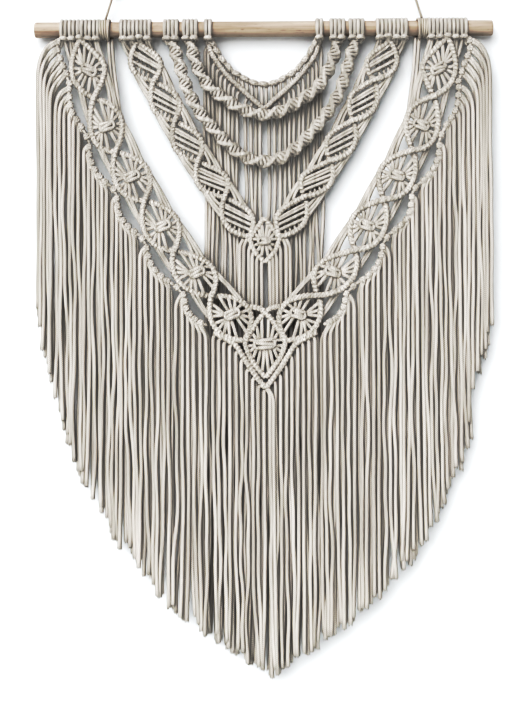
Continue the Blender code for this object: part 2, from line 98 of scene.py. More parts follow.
camera = linked("front_camera", bpy.data.cameras.new("front_camera"))
bpy.context.scene.camera = camera
camera.data.sensor_width = 36
camera.data.lens = camera.data.sensor_width * DISTANCE / (PICTURE_HEIGHT * MM_A_POINT)
camera.matrix_world = (Matrix.Translation((PICTURE_MIDDLE - BACK * DISTANCE) * MM)
                       @ Matrix.Rotation(math.pi / 2, 4, "X") @ Matrix.Rotation(-LEAN, 4, "Z"))
print("lens in mm:", round(camera.data.lens, 1))

# %% [markdown]
# ## Materials: one helper for nodes, one for colours
# A material is a small graph. `add` puts one node in it and `feed` gives a node its inputs, so
# that a material reads from top to bottom like a recipe. Colours are written as sRGB hex values,
# the way a paint chart gives them, and `linear` turns them to what the renderer counts in.

# %% Node and colour helpers
def feed(tree, node, inputs):
    """Sets a node's inputs, named or in order, to values, outputs, or nodes for their first output."""
    for name, value in inputs.items() if isinstance(inputs, dict) else enumerate(inputs):
        if isinstance(value, bpy.types.Node):
            value = value.outputs[0]
        if isinstance(value, bpy.types.NodeSocket):
            tree.links.new(value, node.inputs[name])
        else:
            node.inputs[name].default_value = value


def add(tree, kind, inputs=(), **settings):
    """Adds a node to a tree and feeds it."""
    made = tree.nodes.new("ShaderNode" + kind)
    for name, value in settings.items():
        setattr(made, name, value)
    feed(tree, made, inputs)
    return made


def linear(code):
    """An sRGB hex colour as linear red, green, blue and alpha."""
    parts = [int(code[i:i + 2], 16) / 255 for i in (1, 3, 5)]
    return [p / 12.92 if p <= 0.04045 else ((p + 0.055) / 1.055) ** 2.4 for p in parts] + [1]


def bare_material(name):
    """A new material with nothing in it but its shader."""
    made = bpy.data.materials.new(name)
    made.use_nodes = True
    return made, made.node_tree, made.node_tree.nodes["Principled BSDF"]


print("light greige, linear:", [round(c, 3) for c in linear("#DAD7D3")[:3]])

# %% [markdown]
# ## Braided cotton cord
# The cord is unbleached cotton, dyed a warm greige and braided round a soft core. The eye gets
# three things from it: no gloss, because the fibres scatter the light; a soft bright edge where
# fibres stand off the surface; and rows of small stitches that meet like chevrons. The stitches
# follow the cord round every bend, so they are drawn on a UV map that holds metres along the cord
# and turns round it: a sine of the metres makes the rows, and a zigzag of the turn bends each row
# to a chevron. Real stitches are about 2 mm long; these are 2.7 mm, so that they still show from
# two metres away.
# The valleys between the stitches are painted darker with a third colour, as shade.

# %% Cotton material
STITCH_LENGTH = 2.7
STITCH_COLUMNS = 4


def braided_cotton(name, light, mid, deep, stitch_length, columns):
    """Matt braided cotton, with chevron stitches, painted shade between them, and a little fuzz."""
    made, tree, shader = bare_material(name)
    cord = add(tree, "UVMap", uv_map="cord")
    split = add(tree, "SeparateXYZ", [cord])
    zigzag = add(tree, "Math", [split.outputs["Y"], 0.5 / columns], operation="PINGPONG")
    bend = add(tree, "Math", [zigzag, 2 * columns], operation="MULTIPLY")
    rows = add(tree, "Math", [split.outputs["X"], 1 / (stitch_length * MM), bend],
               operation="MULTIPLY_ADD")
    turn = add(tree, "Math", [rows, 2 * math.pi], operation="MULTIPLY")
    wave = add(tree, "Math", [turn], operation="SINE")
    bulge = add(tree, "MapRange", [wave, -1, 0.6])
    seam = add(tree, "MapRange", [zigzag, 0, 0.2 / columns, 0.3, 1])
    stitch = add(tree, "Math", [bulge, seam], operation="MULTIPLY")

    place = add(tree, "TexCoord").outputs["Object"]
    # Neighbouring cords took the dye a little differently: patches 6 mm wide and 200 mm long.
    stretched = add(tree, "Mapping", {"Vector": place, "Scale": (160, 160, 5)})
    lots = add(tree, "TexNoise", {"Vector": stretched, "Scale": 1, "Detail": 2})
    dip = add(tree, "MapRange", [lots, 0.35, 0.65])
    fibres = add(tree, "TexNoise", {"Vector": place, "Scale": 900, "Detail": 3})
    dyed = add(tree, "Mix", {"Factor": dip, "A": linear(mid), "B": linear(light)}, data_type="RGBA")
    # The deep colour is painted shade, laid into the valleys between stitches and between their
    # columns.
    painted_stitch_shade = add(tree, "MapRange", [stitch, 0, 0.7, 0.62, 0])
    shade = add(tree, "Mix", {"Factor": painted_stitch_shade, "A": dyed.outputs["Result"], "B": linear(deep)},
                data_type="RGBA")

    relief = add(tree, "Math", [fibres, 0.5, stitch], operation="MULTIPLY_ADD")
    bump = add(tree, "Bump", {"Height": relief, "Strength": 0.55, "Distance": 0.35 * MM})
    feed(tree, shader, {"Base Color": shade.outputs["Result"], "Normal": bump, "Roughness": 0.95,
                        "Specular IOR Level": 0.2, "Sheen Weight": 0.1, "Sheen Roughness": 0.6})
    return made


# The third colour of each cotton is painted shade for the valleys between stitches.
cotton = braided_cotton("braided_greige_cotton", "#DAD7D3", "#BFBCB7", "#716B66",
                        STITCH_LENGTH, STITCH_COLUMNS)
cotton_line = braided_cotton("thin_braided_cotton_line", "#D6D2CB", "#C4BFB8", "#77706A", 2.2, 3)
print("materials:", cotton.name, cotton_line.name)

# %% [markdown]
# ## Sanded beech
# Beech is pale pinkish tan, close-grained, sanded but not varnished. Its grain runs along the
# dowel as long, faint streaks, and its rays show as short dark flecks about 1 mm wide. Both are
# noise, squeezed across the dowel and stretched along it, and read from Object coordinates, so the
# grain runs through the wood and isn't wrapped round it like paper.

# %% Beech material
beech, tree, beech_shader = bare_material("sanded_beech")
place = add(tree, "TexCoord").outputs["Object"]
along = add(tree, "Mapping", {"Vector": place, "Scale": (6, 160, 160)})
streaks = add(tree, "TexNoise", {"Vector": along, "Scale": 1, "Detail": 5, "Distortion": 0.6})
fleck_place = add(tree, "Mapping", {"Vector": place, "Scale": (90, 700, 700)})
flecks = add(tree, "TexNoise", {"Vector": fleck_place, "Scale": 1, "Detail": 2})
grain = add(tree, "MapRange", [streaks, 0.3, 0.7])
wood = add(tree, "Mix", {"Factor": grain, "A": linear("#A0958B"), "B": linear("#BFB6AD")},
           data_type="RGBA")
fleck = add(tree, "MapRange", [flecks, 0.62, 0.75, 0, 0.45])
flecked = add(tree, "Mix", {"Factor": fleck, "A": wood.outputs["Result"], "B": linear("#7A6D62")},
              data_type="RGBA")
bump = add(tree, "Bump", {"Height": streaks, "Strength": 0.25, "Distance": 0.3 * MM})
feed(tree, beech_shader, {"Base Color": flecked.outputs["Result"], "Normal": bump, "Roughness": 0.6})
print("material:", beech.name)

# %% [markdown]
# ## Paths
# Every cord starts as a few points that someone could mark on the real piece. `smooth` runs a
# curve through them, and `spaced` cuts it into equal steps, which knots need because they sit side
# by side. Most tables give one half of the hanging, as the distance out from the middle and the
# height over the dowel's axis; `placed` puts such a table on one side, at the depth of its layer.

# %% Path helpers
def smooth(table, per_span=8):
    """A smooth path through (out, z) or (x, y, z) points."""
    points = [Vector(p) if len(p) == 3 else Vector((p[0], 0, p[1])) for p in table]
    last = len(points) - 1
    slopes = [(points[min(i + 1, last)] - points[max(i - 1, 0)]) / 6 for i in range(last + 1)]
    path = [points[0]]
    for i in range(last):
        path.extend(interpolate_bezier(points[i], points[i] + slopes[i],
                                       points[i + 1] - slopes[i + 1], points[i + 1], per_span)[1:])
    return path


def length_of(path):
    """How long a path is, from point to point."""
    return sum((b - a).length for a, b in zip(path, path[1:]))


def spaced(path, step):
    """The same path with points a nearly equal step apart, and both ends kept."""
    total = length_of(path)
    count = max(2, round(total / step))
    walked, i, result = 0, 0, [path[0].copy()]
    for k in range(1, count):
        target = total * k / count
        while walked + (path[i + 1] - path[i]).length < target:
            walked += (path[i + 1] - path[i]).length
            i += 1
        result.append(path[i].lerp(path[i + 1], (target - walked) / (path[i + 1] - path[i]).length))
    return result + [path[-1].copy()]


def heading(path, i):
    """The direction of a path at one of its points."""
    return (path[i + 1] - path[i - 1]).normalized()


def mirrored(table):
    """A whole row of (out, z) points from its half, with the middle point last in the half."""
    return [(-out, z) for out, z in table] + [(out, z) for out, z in table[-2::-1]]


def placed(table, side, depth):
    """Points (out, z) on one side of the middle, each at the depth of its layer."""
    return [Vector((side * p[0], depth(p[-1]), p[-1])) for p in table]


def share_between(value, start, end):
    """How far value is on its way from start to end, kept between 0 and 1."""
    return min(max((value - start) / (end - start), 0), 1)


print("smooth path through 3 points:", len(smooth([(0, 0), (5, 3), (10, 0)])), "points")

# %% [markdown]
# ## Strands
# A strand is a path, a thickness at each point, and whether it closes to a ring. Hundreds of them
# share one curve object, whose round bevel thickens them all at once; that is far quicker than
# sweeping each by hand. The curve is then made a mesh, because a mesh can hold the UV map that the
# braid needs. The curve's own map counts points from 0 to 1 along each strand, so each count is
# looked up in the list of metres walked to that point; without that, the stitches would crowd
# where points lie close together. The caps at the ends are welded on, so every strand is closed.

# %% Strand helpers
CORD_RADIUS = 2.45


def strand(path, size=CORD_RADIUS, ring=False):
    """A strand of one thickness, or of a list of them."""
    return path, size if isinstance(size, list) else [size] * len(path), ring


def round_curve(name, radius, sides):
    """Curve data with a round section."""
    curve = bpy.data.curves.new(name, "CURVE")
    curve.dimensions, curve.use_fill_caps = "3D", True
    curve.bevel_depth, curve.bevel_resolution = radius, sides // 2 - 2
    return curve


def laid(name, strands, material, sides=8):
    """One object of many strands, with metres along the cord and turns round it as its UV map."""
    curve = round_curve(name, MM, sides)
    walks, corners = [], []
    for path, sizes, ring in strands:
        spline = curve.splines.new("POLY")
        spline.points.add(len(path) - 1)
        spline.use_cyclic_u = ring
        spline.points.foreach_set("co", [c for p in path for c in (*(p * MM), 1.0)])
        spline.points.foreach_set("radius", sizes)
        spans = list(zip(path, path[1:])) + ([(path[-1], path[0])] if ring else [])
        walks.append(np.cumsum([0] + [(b - a).length * MM for a, b in spans]))
        corners.append(len(spans) * sides * 4)
    raw = linked(name, curve)
    mesh = bpy.data.meshes.new_from_object(raw.evaluated_get(bpy.context.evaluated_depsgraph_get()))
    bpy.data.objects.remove(raw)

    uv = np.zeros(len(mesh.loops) * 2)
    mesh.uv_layers[0].data.foreach_get("uv", uv)
    start = len(mesh.loops) - sum(corners)
    uv[0:2 * start:2] = 0
    for walk, count in zip(walks, corners):
        part = slice(2 * start, 2 * (start + count), 2)
        uv[part] = np.interp(uv[part] * (len(walk) - 1), range(len(walk)), walk)
        start += count
    mesh.uv_layers[0].data.foreach_set("uv", uv)
    mesh.uv_layers[0].name = "cord"

    welded = bmesh.new()
    welded.from_mesh(mesh)
    bmesh.ops.remove_doubles(welded, verts=welded.verts, dist=1e-7)
    welded.to_mesh(mesh)
    welded.free()
    mesh.name = name
    mesh.shade_smooth()
    mesh.materials.clear()
    mesh.materials.append(material)
    return linked(name, mesh)


def cast(shape, name, material):
    """A new object from a shape that was made with mesh tools."""
    mesh = bpy.data.meshes.new(name)
    shape.to_mesh(mesh)
    shape.free()
    mesh.materials.append(material)
    return linked(name, mesh)


def mounted(thing, slot, *nodes):
    """Sets a finished piece on the hanging, in place of the solids that it stands for."""
    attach(thing, "root")
    if nodes:
        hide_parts(*nodes)
    if thing.type == "MESH":
        print(thing.name, "triangles:", sum(len(p.vertices) - 2 for p in thing.data.polygons))


def knotted(name, strands, *nodes, sides=8):
    """A piece of cotton strands, made and set on the hanging."""
    mounted(laid(name, strands, cotton, sides), "cotton_cord", *nodes)


print("cord thickness in mm:", 2 * CORD_RADIUS)

# %% [markdown]
# ## The hanging line
# A thin line is wound round the dowel next to the outer cords on each side, and its leg runs up to
# a nail above, which holds it taut: a leg is a straight line that leans inwards. It is a free
# cord, so it stays a curve of one open spline. It ends in a barrel knot, three turns round
# itself.

# %% Legs of the hanging line
LINE_RADIUS = 1.5
LINE_OUT = 207
LINE_FOOT = 14
LINE_TOP = 62
LINE_LEAN = math.radians(17.5)
LINE_POINTS = 16
LINE_KNOT_LOW = 9
LINE_KNOT_HIGH = 7.8
LINE_KNOT_TURNS = 3
LINE_KNOT_RADIUS = 2.6
LINE_KNOT_CORD = 1.4
SIDES = ((-1, "left"), (1, "right"))
leg_length = (LINE_TOP - LINE_FOOT) / math.cos(LINE_LEAN)

for side, word in SIDES:
    foot = Vector((side * LINE_OUT, 0, LINE_FOOT))
    upwards = Vector((-side * math.sin(LINE_LEAN), 0, math.cos(LINE_LEAN)))
    curve = round_curve("line_leg_" + word, LINE_RADIUS * MM, 10)
    spline = curve.splines.new("POLY")
    spline.points.add(LINE_POINTS - 1)
    for i, point in enumerate(spline.points):
        point.co = (*((foot + upwards * leg_length * i / (LINE_POINTS - 1)) * MM), 1)
    curve.materials.append(cotton_line)
    leg = linked("line_leg_" + word, curve)

    turns, steps = [], 12 * LINE_KNOT_TURNS
    for i in range(steps + 1):
        at, turn = leg_length - LINE_KNOT_LOW + LINE_KNOT_HIGH * i / steps, i * math.pi / 6
        turns.append(foot + upwards * at + BACK.cross(upwards) * LINE_KNOT_RADIUS * math.cos(turn)
                     + BACK * LINE_KNOT_RADIUS * math.sin(turn))
    knot = laid("line_knot_" + word, [strand(turns, LINE_KNOT_CORD)], cotton_line)
    mounted(knot, "cotton_line")
    mounted(leg, "cotton_line", "hanger_cord_" + word)
print("each leg in mm:", round(leg_length, 1))

# %% [markdown]
# ## Turns of the hanging line
# Where a leg starts, the line is wound four times round the dowel and then once across its own
# turns, so that it can't slip. That is a helix of four turns, and a fifth that climbs over them
# and ends on top, under the leg's foot.

# %% Coils
COIL_FIRST = 214
COIL_LAST = 201.5
COIL_TURNS = 4
COIL_RADIUS = 12
COIL_CORD = 1.65
COIL_CLIMB = 2.5
STEPS_A_TURN = 20

for side, word in SIDES:
    coil = []
    for start, end, turns, skipped, climb in ((COIL_FIRST, COIL_LAST, COIL_TURNS, 0, 0),
                                              (COIL_LAST, LINE_OUT, 1, 2, COIL_CLIMB)):
        for i in range(skipped, turns * STEPS_A_TURN + 1):
            angle, share = 2 * math.pi * i / STEPS_A_TURN, i / (turns * STEPS_A_TURN)
            reach = COIL_RADIUS + climb * math.sin(min(share * 4, 1) * math.pi / 2)
            coil.append(Vector((side * (start + (end - start) * share),
                                -reach * math.sin(angle), reach * math.cos(angle))))
    mounted(laid("line_coil_" + word, [strand(coil, COIL_CORD)], cotton_line), "cotton_line",
            "hanger_wrap_" + word)

# %% [markdown]
# ## The dowel
# A turned and sanded stick, 600 mm long and 20 mm thick. Its ends were broken with sandpaper, so
# the edges of both end faces are rounded with a bevel of three segments. The cylinder is made
# along Z and laid along X.

# %% Dowel
DOWEL_LENGTH = 600
DOWEL_RADIUS = 10
DOWEL_EDGE = 2.5

stick = bmesh.new()
bmesh.ops.create_cone(stick, cap_ends=True, segments=64, radius1=DOWEL_RADIUS * MM,
                      radius2=DOWEL_RADIUS * MM, depth=DOWEL_LENGTH * MM)
rims = [e for e in stick.edges if abs(e.verts[0].co.z - e.verts[1].co.z) < 1e-6]
bmesh.ops.bevel(stick, geom=rims, offset=DOWEL_EDGE * MM, segments=3, profile=0.5, affect="EDGES",
                material=-1)
bmesh.ops.rotate(stick, verts=stick.verts, matrix=Matrix.Rotation(math.pi / 2, 3, "Y"))
bmesh.ops.recalc_face_normals(stick, faces=stick.faces)
dowel = cast(stick, "beech_dowel", beech)
dowel.data.shade_smooth()
dowel.data.set_sharp_from_angle(angle=math.radians(60))
mounted(dowel, "beech", "dowel")

# %% [markdown]
# ## Layers
# The cords from the neckline hang at the back, then come the inner band, the sinnets, and the
# outer band in front. The outer band starts close to the dowel and comes forward where it hangs
# over the others.

# %% Depths of the layers
CURTAIN_DEPTH = 4
INNER_DEPTH = -3.6
SINNET_DEPTH = -9.5
OUTER_FRONT = -9
OUTER_LOW = -17


def inner_depth(z):
    return INNER_DEPTH


def outer_depth(z):
    return OUTER_FRONT + (OUTER_LOW - OUTER_FRONT) * share_between(z, -150, -330)


print("outer band comes forward by", OUTER_FRONT - OUTER_LOW, "mm")

# %% [markdown]
# ## Lark's heads
# Each cord is folded in half and hung over the dowel from behind: its fold comes forward under the
# dowel, and both legs run over the top, down the front and behind the fold. From the front, a head
# is two strands side by side over a short fat fold that holds both. One path follows all of that:
# up behind the fold, up the front, over the top, down the back, forward under the dowel, across,
# and the same way back.

# %% Lark's head helper
# A tight cord is pressed flat on the wood. A round strand sinks 0.9 mm into it instead.
HEAD_REACH = DOWEL_RADIUS - 0.9 + CORD_RADIUS
HEAD_HALF = 2.6
HEAD_RAISED = 1.6
# Places (aside, y, z) on half a head: a leg as it leaves, behind the fold, round the dowel at
# these degrees from below it, and the fold.
LEG_ASIDE = 1.7
LEG_LEAVES = -18.5
BEHIND_FOLD = (1.5, -8.2, -13.5)
HEAD_WRAP = [(HEAD_HALF, -HEAD_REACH * math.sin(math.radians(angle)),
              -HEAD_REACH * math.cos(math.radians(angle)))
             for angle in (50, 90, 130, 180, 225, 270, 310)]
HEAD_FOLD = [(2.9, 4, -13.4), (3.9, -3, -14.2), (4.1, -8.6, -13.9), (3.1, -12.6, -13.2),
             (1.3, -14, -13)]
FOLD_TOP = -10.5
FOLD_SWELL = 0.6
WRAP_SWELL = 0.3


def lark_head(out, side, depth, legs, raised=False):
    """A cord on the dowel; legs are the two (out, z) places where its ends go."""
    x = side * out
    fold = [(aside, y, z + (HEAD_RAISED if raised and y < -5 else 0)) for aside, y, z in HEAD_FOLD]
    halves = []
    for sign, leg in zip((-1, 1), legs if side > 0 else legs[::-1]):
        end = Vector((side * leg[0], depth, leg[1]))
        leaves = end.lerp(Vector((x + sign * LEG_ASIDE, depth, LEG_LEAVES)), 0.7)
        halves.append([end, leaves] + [Vector((x + sign * aside, y, z))
                                       for aside, y, z in (BEHIND_FOLD, *HEAD_WRAP, *fold)])
    path = spaced(smooth(halves[0] + halves[1][::-1], 5), 2.6)
    return strand(path, [CORD_RADIUS + (FOLD_SWELL * share_between(p.y, -9.5, -13)
                                        if p.z < FOLD_TOP else WRAP_SWELL) for p in path])


def hung(heads, side, depth):
    """The heads of a band; its middle cord sits higher."""
    return [lark_head(out, side, depth, [second, first], raised=i == 2)
            for i, (out, first, second) in enumerate(heads)]


print("a head reaches", round(HEAD_REACH + CORD_RADIUS, 1), "mm from the dowel's axis")

# %% [markdown]
# ## Bars of double half hitches
# A bar is a core cord with other cords knotted round it, each in two turns. From the front only
# those turns show, as short ridges side by side. Each is a closed ring round the core that leans a
# little, because the hitch pulls it on, and no two are the same: they differ by a few tenths of a
# millimetre in lean, place and thickness.

# %% Hitch helper
HITCH_PITCH = 5.2
HITCH_CORD = 3.15
HITCH_CORE = 1.35
HITCH_LEAN = 0.7
BAR_CORE = 3.75
RING_STEPS = 10


def ring_round(middle, along, wide, deep, lean, size, steps=RING_STEPS):
    """A closed strand round a point of a core: wide and deep are its half sizes."""
    across = along.cross(BACK).normalized()
    front = across.cross(along).normalized()
    path = []
    for i in range(steps):
        turn = 2 * math.pi * i / steps
        path.append(middle + across * wide * math.cos(turn) + front * deep * math.sin(turn)
                    + along * lean * math.cos(turn))
    return strand(path, size, ring=True)


def hitches(path, lean=HITCH_LEAN, size=HITCH_CORD, pitch=HITCH_PITCH):
    """The turns of a bar along a path, and the core that they hide."""
    steps = spaced(path, pitch / 2)
    turns = [strand(steps, BAR_CORE * size / HITCH_CORD)]
    for i in range(1, len(steps) - 1, 2):
        along = heading(steps, i)
        middle = steps[i] + along * wobble(0.25)
        loop = HITCH_CORE + chance.uniform(-0.12, 0.15)
        turns.append(ring_round(middle, along, loop, loop, lean + wobble(0.4),
                                size + chance.uniform(-0.08, 0.1)))
    return turns


print("a bar is", round(2 * (HITCH_CORE + HITCH_CORD), 1), "mm thick")

# %% [markdown]
# ## The two V-shaped bands
# Each band is drawn by two core cords that weave: they bow apart into a cell, cross, and bow apart
# again. So a band is a table of its crossings, and of its bows, each the handles of a curve from
# one crossing to the next. At a crossing the bar that runs from upper right to lower left lies in
# front, so both bars leave their layer there for a few millimetres.

# %% Tables of the bands, one half, in mm
Bow = namedtuple("Bow", "outer_start outer_end inner_start inner_end")
Band = namedtuple("Band", "crossings first_bow bow last_bow depth")
HEAD_DROP = -12.5
OUTER = Band(
    [(239.7, HEAD_DROP), (222, -91), (193.9, -161.1), (155.9, -225.3), (117.9, -290.8), (69.4, -349.8),
     (27.5, -408)],
    Bow((22, -48), (25, 14), (-34, -38), (-26, 50)),
    Bow((10, -33), (35, 1), (-32, -8), (-20, 43)),
    Bow((10, -33), (35, 1), (-60, 1), (-16, 24)), outer_depth)
INNER = Band(
    [(162.4, HEAD_DROP), (144.1, -68.1), (116.6, -120.5), (86.5, -172.9), (52.4, -220.1),
     (20, -272)],
    Bow((24, -34), (26, 5), (2, -17), (-30, 36)),
    Bow((12, -33), (24, 3), (-26, -14), (-16, 32)),
    Bow((12, -33), (24, 3), (-26, -14), (-16, 32)), inner_depth)
ARC_POINTS = 25
WEAVE = 3.2
WEAVE_REACH = 7


def cell_arc(band, cell, outer):
    """The curve of a band's outer or inner bar over one cell, as (out, z) points."""
    last = cell == len(band.crossings) - 2
    bow = band.first_bow if cell == 0 else band.last_bow if last else band.bow
    start, end = (Vector((out, 0, z)) for out, z in band.crossings[cell:cell + 2])
    leave = bow.outer_start if outer else bow.inner_start
    arrive = bow.outer_end if outer else bow.inner_end
    points = interpolate_bezier(start, start + Vector((leave[0], 0, leave[1])),
                                end + Vector((arrive[0], 0, arrive[1])), end, ARC_POINTS)
    return [(p.x, p.z) for p in points]


def on_arc(band, cell, outer, share):
    """The point of a cell's bar at a share of its curve."""
    place = share * (ARC_POINTS - 1)
    before = min(int(place), ARC_POINTS - 2)
    a, b = (Vector(p) for p in cell_arc(band, cell, outer)[before:before + 2])
    return tuple(a.lerp(b, place - before))


def woven_bar(band, starts_outside, side):
    """A bar that changes sides with its twin at every crossing of the band."""
    path = []
    for cell in range(len(band.crossings) - 1):
        outer = starts_outside == (cell % 2 == 0)
        path.extend(placed(cell_arc(band, cell, outer), side, band.depth)[1 if path else 0:])
    for point in path:
        for cell, (_, z) in enumerate(band.crossings[1:-1]):
            leaves_outside = starts_outside == (cell % 2 == 0)
            forward = -1 if leaves_outside == (side > 0) else 1
            gap = (point.z - z) / WEAVE_REACH
            point.y += forward * WEAVE * math.exp(-gap * gap)
    return path


def band_bars(band, side, size, *tables):
    """The bars of one side of a band: the two that weave, and those drawn by tables."""
    paths = [woven_bar(band, starts_outside, side) for starts_outside in (True, False)]
    paths += [smooth(placed(table, side, band.depth), 4) for table in tables]
    return [turn for path in paths for turn in hitches(path, side * HITCH_LEAN, size)]


for side, word in SIDES:
    print(word, "bar in mm:", round(length_of(woven_bar(OUTER, True, side))))

# %% [markdown]
# ## Bars of the outer band
# The four woven bars meet in the middle, where two more of each side cross to make the centre
# diamond, and a last pair under it makes the hem from which the middle fringe falls.

# %% Outer bars
DIAMOND_TOP = [(-20, -364), (-9, -366), (0, -371.5), (10.5, -383.5), (19, -397.5),
               (26.5, -412)]
DIAMOND_LOW = [(26.5, -410), (20.3, -429), (9.5, -445), (0, -456.5)]
HEM = [(67, -397), (53, -405), (40, -412.5), (31, -425.5), (20, -443),
       (9, -458.5), (0, -470)]

outer_bars = []
for side in (-1, 1):
    outer_bars += band_bars(OUTER, side, HITCH_CORD, DIAMOND_LOW, HEM)
    crown = smooth(placed(DIAMOND_TOP, side, outer_depth), 4)
    for point in crown:
        point.y -= side * 0.5 * WEAVE * math.exp(-((point.x / WEAVE_REACH) ** 2))
    outer_bars += hitches(crown, side * HITCH_LEAN)
knotted("outer_band_bars", outer_bars, "outer_band")

# %% [markdown]
# ## Wheels
# In each cell of the outer band the cords come down from the upper bars, are tied together in the
# middle with one square knot, and fan out again to the lower bars. The spokes are short strands
# from places along both bars to the knot, which is a stack of turns across the bundle, with the
# loops that a square knot leaves at its sides.

# %% Wheel helpers
Wheel = namedtuple("Wheel", "out z wide high turns tilt")
SPOKES_A_BAR = 8
RIM_STEPS = 50
SPOKE_MARGIN = 0.1
SPOKE_RADIUS = 2.65
SPOKE_BULGE = 1.8
SPOKE_FOOT_BEHIND = 1.6
# How far across and up a knot its spokes go in, as shares of its width and height.
GRIP_WIDE = 0.36
GRIP_HIGH = 0.2
KNOT_CORD = 2.9
KNOT_LOOP_CORD = 2.3
KNOT_FILLING = 3.6
KNOT_BEFORE = 2.6


def rim_places(band, cell):
    """Places an equal distance apart along both bars of a cell."""
    found = []
    for outer in (True, False):
        path = [Vector(p).to_3d() for p in cell_arc(band, cell, outer)]
        steps = spaced(path, length_of(path) / RIM_STEPS)
        for i in range(SPOKES_A_BAR):
            share = SPOKE_MARGIN + (1 - 2 * SPOKE_MARGIN) * i / (SPOKES_A_BAR - 1)
            found.append(tuple(steps[round(share * RIM_STEPS)])[:2])
    return found


def hub(wheel, side, y):
    """The tilt and the middle of a wheel."""
    return Matrix.Rotation(side * wheel.tilt, 3, "Y"), Vector((side * wheel.out, y, wheel.z))


def square_knot(wheel, side, depth):
    """The turns of a square knot across a bundle, and the loops at its two ends."""
    tilt, middle = hub(wheel, side, depth(wheel.z) - KNOT_BEFORE)
    right, up = tilt @ RIGHT, tilt @ UP
    step = (wheel.high - 2 * KNOT_CORD) / max(wheel.turns - 1, 1)
    half = right * wheel.wide * 0.28
    knot = [strand([middle - half, middle, middle + half], KNOT_FILLING)]
    for i in range(wheel.turns):
        level = i - (wheel.turns - 1) / 2
        wide = wheel.wide / 2 - KNOT_CORD - 1.1 * abs(level) + wobble(0.5)
        slope = side * (1.6 if i % 2 else -0.6) + wobble(0.4)
        knot.append(ring_round(middle + up * level * step, up, wide, 3.2 - 0.5 * abs(level), slope,
                               KNOT_CORD, 14))
    for end, reach, bulge in ((-side, 0.34, 1.6), (side, 0.2, 0.2)):
        at = middle + right * end * (wheel.wide / 2 - 2) - BACK
        loop = [at + up * wheel.high * reach * level + right * end * aside + BACK * y
                for level, aside, y in ((1, -3.4, 3), (1, -0.8, -0.6), (0.5, bulge, -1.2),
                                        (-0.5, bulge, -1.2), (-1, -0.8, -0.6), (-1, -3.4, 3))]
        knot.append(strand(spaced(smooth(loop, 3), 1.8), KNOT_LOOP_CORD))
    return knot


def spokes(wheel, side, depth, rims):
    """Strands from places on the bars to the top or the bottom of a knot."""
    tilt, middle = hub(wheel, side, depth(wheel.z))
    made = []
    for rim in rims:
        start = Vector((side * rim[0], depth(rim[1]) + SPOKE_FOOT_BEHIND, rim[1]))
        away = tilt.inverted() @ (start - middle)
        grip = Vector((max(-GRIP_WIDE, min(GRIP_WIDE, away.x / 50)) * wheel.wide, -0.5,
                       math.copysign(wheel.high * GRIP_HIGH, away.z)))
        inner = middle + tilt @ grip
        bulge = start.lerp(inner, 0.5) - BACK * SPOKE_BULGE
        made.append(strand(spaced(smooth([start, bulge, inner], 5), 4.5), SPOKE_RADIUS))
    return made


print("spokes in a wheel:", 2 * SPOKES_A_BAR)

# %% [markdown]
# ## Wheels of the outer band
# Six cells on each side hold a wheel. Their knots hang with the band, so they tilt: the end nearer
# the middle of the hanging sits higher. The centre diamond's wheel is larger and almost level.

# %% Outer wheels
BAND_WHEELS = [(228.5, -54.5), (205.4, -128.3), (173.1, -194), (133.4, -259),
               (89, -319.5), (43.5, -374)]
KNOT_TILT = math.radians(24)
BIG_WHEEL = Wheel(0, -412.5, wide=29, high=15, turns=3, tilt=math.radians(-4))
DIAMOND_RIM = [(4.5, -377), (11.5, -387), (17.5, -397), (23, -407), (24.5, -415),
               (22, -424), (17, -433), (10.5, -442), (4, -450)]

wheels = []
for side in (-1, 1):
    for cell, (out, z) in enumerate(BAND_WHEELS):
        tilt = -KNOT_TILT if cell == 0 else KNOT_TILT
        wheel = Wheel(out, z, wide=21, high=14, turns=3, tilt=tilt)
        wheels += square_knot(wheel, side, outer_depth)
        wheels += spokes(wheel, side, outer_depth, rim_places(OUTER, cell))
    wheels += spokes(BIG_WHEEL, side, outer_depth, DIAMOND_RIM)
wheels += square_knot(BIG_WHEEL, 1, outer_depth)
knotted("outer_band_wheels", wheels)

# %% [markdown]
# ## Heads and straight cords of the outer band
# Five cords hang the band on the dowel. The middle one gives the two cores and sits higher; the
# legs of the others run to the bars of the first cell, and out to the scalloped edge. Past every
# crossing, three cords bridge the notch on the inner side, and two lie behind the opening on
# the outer side.

# %% Outer heads and straight cords
OUTER_HEADS = [(261.3, (266.5, -24), (251.5, -44)), (250.7, (250, -37), (246, -30)),
               (240.1, (243, -20), (236.5, -20)), (229.5, (229.5, -28), (220.5, -32.5)),
               (218.9, (213.5, -39.5), (206.5, -49))]
# On the outer side or not, shares of the cells above and below the crossing, how far behind.
OUTER_BRIDGES = [(False, 0.52, 0.46, 2.5), (False, 0.62, 0.36, 1.5), (False, 0.72, 0.27, 0.5),
                 (True, 0.70, 0.40, 5), (True, 0.80, 0.30, 5)]
BRIDGE_ASIDE = 1.5
# Two cords that come forward from behind the dowel and run down past the first cell.
LOOSE_CORDS = [
    [(204, 9, -9), (203, -2, -19), (199.5, -5, -62), (190.5, -7, -104)],
    [(199, 9, -9), (198.5, -1, -19), (195, -4, -60), (187.5, -6, -113)]]
LOOSE_RADIUS = 2.2


def bent(a, b, middle_moves):
    """A nearly straight path, with its middle moved a little."""
    return smooth([a, a.lerp(b, 0.5) + middle_moves, b], 4)


def bridges(band, side, table):
    """Straight cords over the notches beside a band's crossings."""
    made = []
    for cell in range(len(band.crossings) - 2):
        for outer, above, below, sink in table:
            a, b = placed([on_arc(band, cell, outer, above), on_arc(band, cell + 1, outer, below)],
                          side, band.depth)
            aside = side * (BRIDGE_ASIDE if outer else -BRIDGE_ASIDE)
            made.append(strand(spaced(bent(a, b, Vector((aside, sink + wobble(0.4), 0))), 7)))
    return made


